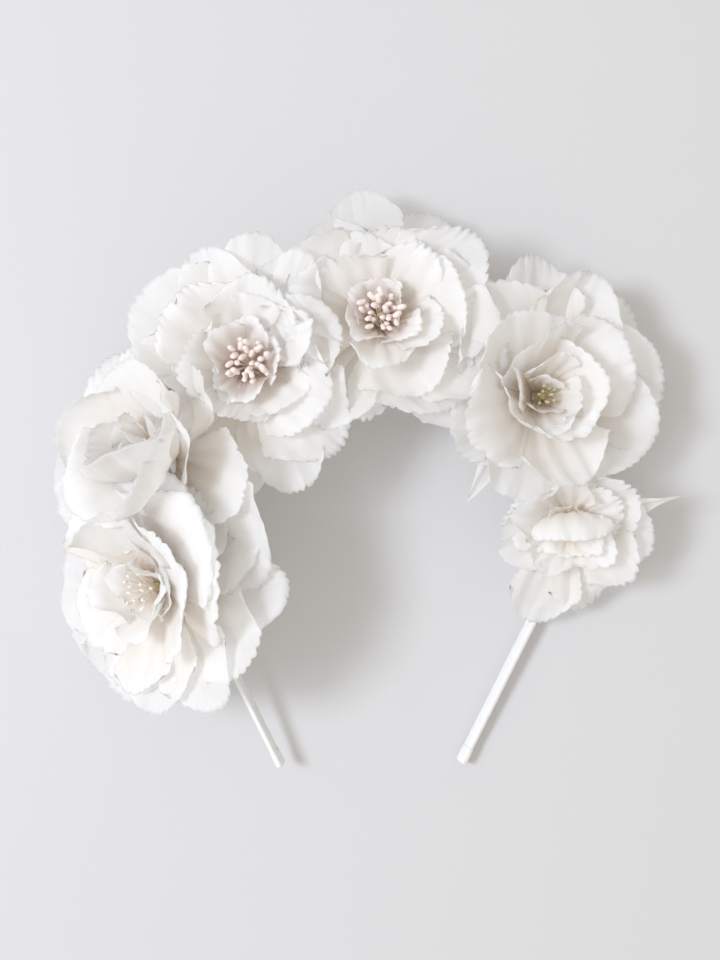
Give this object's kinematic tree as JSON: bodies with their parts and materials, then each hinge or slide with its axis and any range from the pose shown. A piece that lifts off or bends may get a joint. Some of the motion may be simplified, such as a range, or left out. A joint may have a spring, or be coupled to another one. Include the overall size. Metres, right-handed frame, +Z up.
{
  "type": "flower crown",
  "caption": "White fabric flower crown on a ribbon-wrapped spring head band, lying on a table.",
  "frame": {"origin": "middle of the crown's own bounding box, on the table it lies on", "axes": "+Y from the band's tips towards the top of the arch, +Z up from the table"},
  "size_m": [0.2181, 0.2016, 0.0702],
  "materials": {
    "petal_cloth": "matte",
    "satin_ribbon": "satin",
    "binding_thread": "matte",
    "felt": "matte",
    "spring_steel": "brushed",
    "stem_wire": "matte",
    "calyx_paper": "matte",
    "stamen_bead": "pearl",
    "pistil_wax": "satin"
  },
  "bodies": {
    "crown": {"band_arch_strip": "spring_steel", "band_arch_ribbon": "satin_ribbon", "stem_bindings": "binding_thread", "lower_left_felt_pad": "felt", "lower_left_stem_wire": "stem_wire", "lower_left_calyx": "calyx_paper", "lower_left_outer_petals": "petal_cloth", "lower_left_middle_petals": "petal_cloth", "lower_left_inner_petals": "petal_cloth", "lower_left_stamens": "stamen_bead", "lower_left_pistil": "pistil_wax", "left_felt_pad": "felt", "left_stem_wire": "stem_wire", "left_calyx": "calyx_paper", "left_outer_petals": "petal_cloth", "left_middle_petals": "petal_cloth", "left_inner_petals": "petal_cloth", "left_stamens": "stamen_bead", "left_pistil": "pistil_wax", "upper_left_felt_pad": "felt", "upper_left_stem_wire": "stem_wire", "upper_left_calyx": "calyx_paper", "upper_left_outer_petals": "petal_cloth", "upper_left_middle_petals": "petal_cloth", "upper_left_inner_petals": "petal_cloth", "upper_left_stamens": "stamen_bead", "upper_left_pistil": "pistil_wax", "top_felt_pad": "felt", "top_stem_wire": "stem_wire", "top_calyx": "calyx_paper", "top_back_petals": "petal_cloth", "top_outer_petals": "petal_cloth", "top_middle_petals": "petal_cloth", "top_inner_petals": "petal_cloth", "top_stamens": "stamen_bead", "top_pistil": "pistil_wax", "right_felt_pad": "felt", "right_stem_wire": "stem_wire", "right_calyx": "calyx_paper", "right_outer_petals": "petal_cloth", "right_middle_petals": "petal_cloth", "right_inner_petals": "petal_cloth", "right_stamens": "stamen_bead", "right_pistil": "pistil_wax", "lower_right_felt_pad": "felt", "lower_right_stem_wire": "stem_wire", "lower_right_calyx": "calyx_paper", "lower_right_outer_petals": "petal_cloth", "lower_right_middle_petals": "petal_cloth", "lower_right_inner_petals": "petal_cloth", "lower_right_stamens": "stamen_bead", "lower_right_pistil": "pistil_wax"},
    "left_leg": {"left_leg_strip": "spring_steel", "left_leg_ribbon": "satin_ribbon", "left_tip_cap": "satin_ribbon"},
    "right_leg": {"right_leg_strip": "spring_steel", "right_leg_ribbon": "satin_ribbon", "right_tip_cap": "satin_ribbon"}
  },
  "joints": [
    {"name": "left_leg_spread", "type": "hinge", "parent": "crown", "child": "left_leg", "pos_m": [-0.04661, -0.06368, 0.01371], "axis": [0.2192, 0.2313, -0.9479], "range_deg": [-3, 12], "stiffness_Nm_per_rad": 0.8},
    {"name": "right_leg_spread", "type": "hinge", "parent": "crown", "child": "right_leg", "pos_m": [0.05231, -0.06368, 0.00436], "axis": [0.3929, -0.2313, 0.89], "range_deg": [-3, 12], "stiffness_Nm_per_rad": 0.8}
  ]
}
